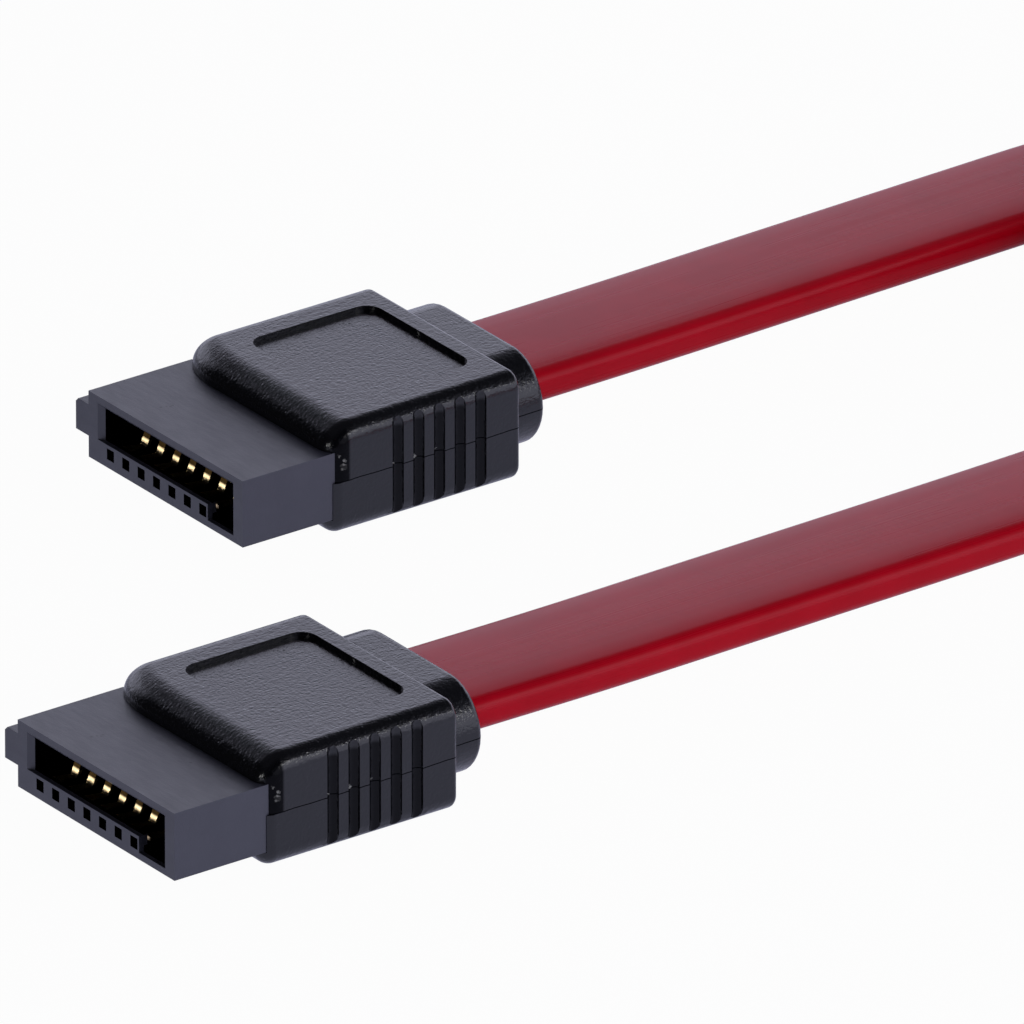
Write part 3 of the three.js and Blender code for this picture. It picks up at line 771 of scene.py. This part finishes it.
def rearCornerCutter():
    # What is left over outside the round rear left corner, seen from above
    m = mould
    r = m["rearCorner"]
    outline = [(m["left"] - 1, m["rear"] + 1), (m["left"] - 1, m["rear"] - r)]
    for i in range(9):
        angle = math.radians(180 - 90 * i / 8)
        outline.append((m["left"] + r * (1 + math.cos(angle)), m["rear"] - r + r * math.sin(angle)))
    outline.append((m["left"] + r, m["rear"] + 1))
    return prism(outline, "z", -1, 8)


def gripCutter(x, y):
    # An upright round bar with ball ends
    m = mould
    r = m["gripRadius"]
    bends = [math.radians(a) for a in (15, 40, 65, 90)]
    rings = [(m["gripLow"] + r - r * math.cos(a), r * math.sin(a)) for a in bends]
    rings += [(m["gripHigh"] - r + r * math.cos(a), r * math.sin(a)) for a in reversed(bends)]
    form = bmesh.new()
    loops = []
    for z, radius in rings:
        loops.append([form.verts.new((x + radius * math.cos(t), y + radius * math.sin(t), z))
                      for t in (math.radians(15 * k) for k in range(24))])
    form.faces.new(loops[0])
    form.faces.new(loops[-1][::-1])
    for a, b in zip(loops, loops[1:]):
        for i in range(24):
            form.faces.new((a[i], b[i], b[(i + 1) % 24], a[(i + 1) % 24]))
    return objectFrom("cutter", form)


def bootObject():
    m = mould
    half = m["bootHalf"]
    middle = (m["bootLow"] + m["bootHigh"]) / 2
    outline = roundedOutline(-half, half, m["bootLow"], m["bootHigh"], m["bootRadius"], 10)
    outline = [(x, z - math.copysign(m["bootCrown"] * (x / half) ** 2, z - middle)) for x, z in outline]
    rings = [(14.9, 0.0)]
    for i in range(7):
        angle = math.radians(90 * i / 6)
        rings.append((m["bootRear"] - m["bootEdge"] * (1 - math.sin(angle)),
                      m["bootEdge"] * (1 - math.cos(angle))))
    form = bmesh.new()
    loops = []
    for y, inset in rings:
        sx = 1 - inset / half
        sz = 1 - inset / (m["bootHigh"] - middle)
        loops.append([form.verts.new((m["bootMiddle"] + x * sx, y, middle + (z - middle) * sz))
                      for x, z in outline])
    count = len(outline)
    form.faces.new(loops[0])
    form.faces.new(loops[-1][::-1])
    for a, b in zip(loops, loops[1:]):
        for i in range(count):
            form.faces.new((a[i], b[i], b[(i + 1) % count], a[(i + 1) % count]))
    return objectFrom("boot", form)


# Small pale spots as (x, y, z, radius), painted highlights for glints on torn edges and nicks, the parting
# line, the ragged edge's reach and the grain's height
marks = {"pale": ((6.42, 5.62, 4.25, 0.13), (6.45, 5.9, 3.95, 0.16), (6.47, 5.85, 3.6, 0.2),
                  (-0.33, 15.2, 5.52, 0.12), (6.3, 10.15, 2.95, 0.12), (6.3, 11.4, 2.98, 0.1),
                  (6.3, 8.95, 2.86, 0.09), (0.55, 5.35, 5.24, 0.08)),
         "seamHeight": 2.79, "seamWidth": 0.035, "ragged": 0.35, "grain": 0.000017}


def mouldMaterial():
    shader = Shader("overmould_plastic")
    place = shader.own()
    cloud = shader.noise(place, 0.4, 4, 0.55)
    grain = shader.noise(shader.own((3.2, 7.0, 5.0), 25), 1.0, 3, 0.6)
    fibres = shader.noise(shader.own((8.0, 2.6, 5.0), -20), 1.0, 2, 0.5)
    pits = shader.node("ShaderNodeTexVoronoi", feature="F1")
    pits.inputs["Scale"].default_value = 3.1
    shader.join(place, pits.inputs["Vector"])
    hollows = shader.ramp(pits.outputs["Distance"], 0.04, 0.22, 0, 1)
    fine = shader.noise(shader.own((14.0, 9.0, 11.0), 35), 1.0, 2, 0.5)
    rough = shader.maths("ADD", shader.maths("ADD", grain, fibres), shader.maths("MULTIPLY", hollows, 0.4))
    height = shader.maths("ADD", rough, shader.maths("MULTIPLY", fine, 0.4))

    parts = shader.node("ShaderNodeSeparateXYZ")
    shader.join(place, parts.inputs[0])
    wander = shader.maths("MULTIPLY", shader.noise(shader.own((0.8, 0.8, 0)), 1.0, 3, 0.6), 0.12)
    line = shader.maths("ADD", wander, marks["seamHeight"])
    fromSeam = shader.maths("ABSOLUTE", shader.maths("SUBTRACT", parts.outputs["Z"], line))
    seam = shader.ramp(fromSeam, marks["seamWidth"] * 0.5, marks["seamWidth"], 1, 0)
    ragged = shader.node("ShaderNodeVectorMath", operation="MULTIPLY_ADD")
    ragged.inputs[1].default_value = (marks["ragged"], marks["ragged"], marks["ragged"])
    edges = shader.node("ShaderNodeTexNoise")
    edges.inputs["Scale"].default_value = 4.0
    shader.join(place, edges.inputs["Vector"])
    shader.join(edges.outputs["Color"], ragged.inputs[0])
    shader.join(shader.own(), ragged.inputs[2])
    shift = marks["ragged"] / 2
    places = [(x + shift, y + shift, z + shift, r) for x, y, z, r in marks["pale"]]
    pale = shader.spots(ragged.outputs["Vector"], places)
    # Painted shade: inward of the right side face, between y 8.5 and 14.5 and below z 4.8, the plastic
    # reflects less, darkening the grip grooves
    grooveShade = shader.ramp(parts.outputs["X"], 6.51, 6.44, 0, 1)
    for axis, low, high in (("Y", 8.4, 8.5), ("Y", 14.6, 14.5), ("Z", 5.0, 4.8)):
        grooveShade = shader.maths("MULTIPLY", grooveShade, shader.ramp(parts.outputs[axis], low, high, 0, 1))

    # Painted shade: a ragged dark strip on the right front above the parting line, beside the housing, where
    # the plastic reflects less
    nookShade = shader.ramp(shader.maths("ADD", parts.outputs["Y"], wander), 6.15, 6.3, 1, 0)
    for axis, low, high in (("X", 6.1, 6.3), ("Z", 2.82, 2.86)):
        nookShade = shader.maths("MULTIPLY", nookShade, shader.ramp(parts.outputs[axis], low, high, 0, 1))
    shade = shader.maths("MAXIMUM", grooveShade, shader.maths("MULTIPLY", nookShade, 1.25))

    base = shader.blend(shader.ramp(cloud, 0.3, 0.7, 0, 1), (0.002, 0.0021, 0.003), (0.004, 0.0042, 0.006))
    # Painted highlights: the pale spots are painted pale grey as glints
    paintedGlints = shader.maths("MULTIPLY", pale, shader.ramp(fibres, 0.4, 0.6, 0.1, 1))
    streaksAndGlints = shader.blend(paintedGlints, base, (0.34, 0.34, 0.32))
    shader.join(streaksAndGlints, shader.surface.inputs["Base Color"])
    shader.join(shader.ramp(grain, 0.3, 0.7, 0.13, 0.2), shader.surface.inputs["Roughness"])
    gloss = shader.maths("MULTIPLY", shader.ramp(seam, 0, 1, 0.52, 0), shader.ramp(shade, 0, 1.25, 1, 0.12))
    shader.join(gloss, shader.surface.inputs["Specular IOR Level"])
    shader.join(shader.bump(height, 1.0, marks["grain"]), shader.surface.inputs["Normal"])
    shader.set(IOR=1.55)
    return shader.material


placeOnPlugs(mouldObject(), "plug_overmould", mouldMaterial(), "overmould")
print("overmoulds made")


# Materials of the pieces that keep their solids

def metalMaterial(name, first, second, roughness, lit=(0, 9), lean=0):
    # Painted shade: outside the two heights given as lit, in millimetres, the metal is painted dark; lean
    # turns the sheen sideways
    shader = Shader(name)
    place = shader.millimetres()
    cloud = shader.noise(place, 2.5, 3, 0.5)
    parts = shader.node("ShaderNodeSeparateXYZ")
    shader.join(place, parts.inputs[0])
    low, high = lit
    # Painted shade: outside the lit heights the metal is painted dark brown
    paintedLitBand = shader.maths("MULTIPLY", shader.ramp(parts.outputs["Z"], low - 0.12, low, 0, 1),
                         shader.ramp(parts.outputs["Z"], high, high + 0.12, 1, 0))
    colour = shader.blend(shader.ramp(cloud, 0.3, 0.7, 0, 1), first, second)
    shader.join(shader.blend(paintedLitBand, (0.02, 0.012, 0.004), colour), shader.surface.inputs["Base Color"])
    shader.join(shader.ramp(cloud, 0.3, 0.7, roughness, roughness + 0.05), shader.surface.inputs["Roughness"])
    turned = shader.node("ShaderNodeVectorMath", operation="ADD")
    turned.inputs[1].default_value = (lean, 0, 0)
    shader.join(shader.node("ShaderNodeNewGeometry").outputs["Normal"], turned.inputs[0])
    even = shader.node("ShaderNodeVectorMath", operation="NORMALIZE")
    shader.join(turned.outputs["Vector"], even.inputs[0])
    shader.join(even.outputs["Vector"], shader.surface.inputs["Normal"])
    shader.set(Metallic=1.0)
    return shader.material


def innerMaterial(name, first, second):
    shader = Shader(name)
    place = shader.millimetres()
    cloud = shader.noise(place, 1.5, 3, 0.5)
    colour = shader.blend(shader.ramp(cloud, 0.3, 0.7, 0, 1), first, second)
    shader.join(colour, shader.surface.inputs["Base Color"])
    shader.join(shader.ramp(cloud, 0.3, 0.7, 0.4, 0.55), shader.surface.inputs["Roughness"])
    return shader.material


keptFinishes = {
    "contact": metalMaterial("contact_gold", (0.86, 0.66, 0.36), (0.90, 0.70, 0.40), 0.3, (1.7, 1.9), 0.6),
    "drain_wire": metalMaterial("tinned_copper", (0.62, 0.62, 0.62), (0.72, 0.71, 0.69), 0.3),
    "signal_wire": innerMaterial("wire_insulation", (0.62, 0.60, 0.55), (0.72, 0.70, 0.66)),
    "wire_block": innerMaterial("wire_block_plastic", (0.45, 0.43, 0.36), (0.55, 0.53, 0.46)),
}
for nodeName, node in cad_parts.items():
    for stem, material in keptFinishes.items():
        if nodeName.startswith(stem):
            paint(node, material)
print("inner pieces painted")


# Studio: white floor in bright low surroundings, darker overhead and to the front

studio = {"floor": 6.0, "tint": (0.99, 1.0, 1.24), "bright": 1.18, "upper": 0.2, "overhead": 0.04,
          "front": 0.015, "cameraWhite": 0.97, "glossWhite": 0.5, "glossTint": (0.88, 0.9, 1.22)}


def floorMaterial():
    # White, with a painted dark sheet that starts some way off to the left of the front: painted shade that
    # the front faces reflect
    shader = Shader("studio_floor")
    away = shader.node("ShaderNodeVectorMath", operation="DOT_PRODUCT")
    away.inputs[1].default_value = (-0.75, -0.66, 0)
    shader.join(shader.millimetres(), away.inputs[0])
    # Painted shade: a dark sheet painted on the floor, which the white seen by glossy rays leaves out
    paintedShadeSheet = shader.ramp(away.outputs["Value"], 12, 90, 0, 1)
    colour = shader.blend(paintedShadeSheet, (0.86, 0.86, 0.86), (0.01, 0.01, 0.01))
    shader.join(colour, shader.surface.inputs["Base Color"])
    shader.set(Roughness=0.9)
    path = shader.node("ShaderNodeLightPath")
    white = shader.node("ShaderNodeEmission")
    white.inputs["Strength"].default_value = 1.0
    shader.join(shader.blend(path.outputs["Is Camera Ray"], studio["glossTint"], (1.0, 1.0, 1.0)),
                white.inputs["Color"])
    seen = shader.maths("MULTIPLY", path.outputs["Is Camera Ray"], studio["cameraWhite"])
    bare = shader.ramp(paintedShadeSheet, 0, 1, studio["glossWhite"], 0)
    mirrored = shader.maths("MULTIPLY", path.outputs["Is Glossy Ray"], bare)
    mix = shader.node("ShaderNodeMixShader")
    shader.join(shader.maths("MAXIMUM", seen, mirrored), mix.inputs[0])
    shader.join(shader.surface.outputs[0], mix.inputs[1])
    shader.join(white.outputs[0], mix.inputs[2])
    shader.join(mix.outputs[0], shader.tree.nodes["Material Output"].inputs["Surface"])
    return shader.material


class WorldLight:
    # The surroundings: how bright each direction is, as nodes
    def __init__(self):
        self.world = bpy.data.worlds.new("studio")
        bpy.context.scene.world = self.world
        self.world.use_nodes = True
        self.tree = self.world.node_tree
        coordinates = self.tree.nodes.new("ShaderNodeTexCoord")
        parts = self.tree.nodes.new("ShaderNodeSeparateXYZ")
        self.tree.links.new(coordinates.outputs["Generated"], parts.inputs[0])
        self.across = parts.outputs["Y"]
        self.height = parts.outputs["Z"]

    def step(self, source, low, high, start, end):
        made = self.tree.nodes.new("ShaderNodeMapRange")
        made.interpolation_type = "SMOOTHSTEP"
        for key, value in {"From Min": low, "From Max": high, "To Min": start, "To Max": end}.items():
            if isinstance(value, (int, float)):
                made.inputs[key].default_value = value
            else:
                self.tree.links.new(value, made.inputs[key])
        self.tree.links.new(source, made.inputs["Value"])
        return made.outputs["Result"]

    def build(self):
        nodes = self.tree.nodes
        low = self.step(self.height, 0.47, 0.53, 1, studio["upper"])
        level = self.step(self.across, -0.37, -0.2, studio["front"], low)
        strength = self.step(self.height, 0.66, 0.74, level, studio["overhead"])
        background = nodes["Background"]
        background.inputs["Color"].default_value = (*studio["tint"], 1)
        bright = nodes.new("ShaderNodeMath")
        bright.operation = "MULTIPLY"
        bright.inputs[1].default_value = studio["bright"]
        self.tree.links.new(strength, bright.inputs[0])
        self.tree.links.new(bright.outputs[0], background.inputs["Strength"])
        white = nodes.new("ShaderNodeBackground")
        white.inputs["Color"].default_value = (1, 1, 1, 1)
        white.inputs["Strength"].default_value = 1.0
        path = nodes.new("ShaderNodeLightPath")
        mix = nodes.new("ShaderNodeMixShader")
        self.tree.links.new(path.outputs["Is Camera Ray"], mix.inputs[0])
        self.tree.links.new(background.outputs[0], mix.inputs[1])
        self.tree.links.new(white.outputs[0], mix.inputs[2])
        self.tree.links.new(mix.outputs[0], nodes["World Output"].inputs["Surface"])


def lamp(name, azimuthDegrees, elevationDegrees, distance, size, power):
    data = bpy.data.lights.new(name, "AREA")
    data.shape = "DISK"
    data.size = size
    data.energy = power
    item = bpy.data.objects.new(name, data)
    a = math.radians(azimuthDegrees)
    e = math.radians(elevationDegrees)
    way = Vector((math.sin(a) * math.cos(e), -math.cos(a) * math.cos(e), math.sin(e)))
    item.location = way * distance
    item.rotation_euler = (-way).to_track_quat("-Z", "Y").to_euler()
    bpy.context.scene.collection.objects.link(item)


floorForm = bmesh.new()
bmesh.ops.create_grid(floorForm, x_segments=1, y_segments=1, size=studio["floor"])
floorObject = objectFrom("studio_floor", floorForm)
paint(floorObject, floorMaterial())
WorldLight().build()
lamp("front_lamp", 13.6, 9.8, 0.8, 0.1, 0.6)
lamp("side_lamp", 112, 31, 0.8, 0.16, 0.5)
bpy.context.scene.view_settings.view_transform = "Standard"
print("studio made")
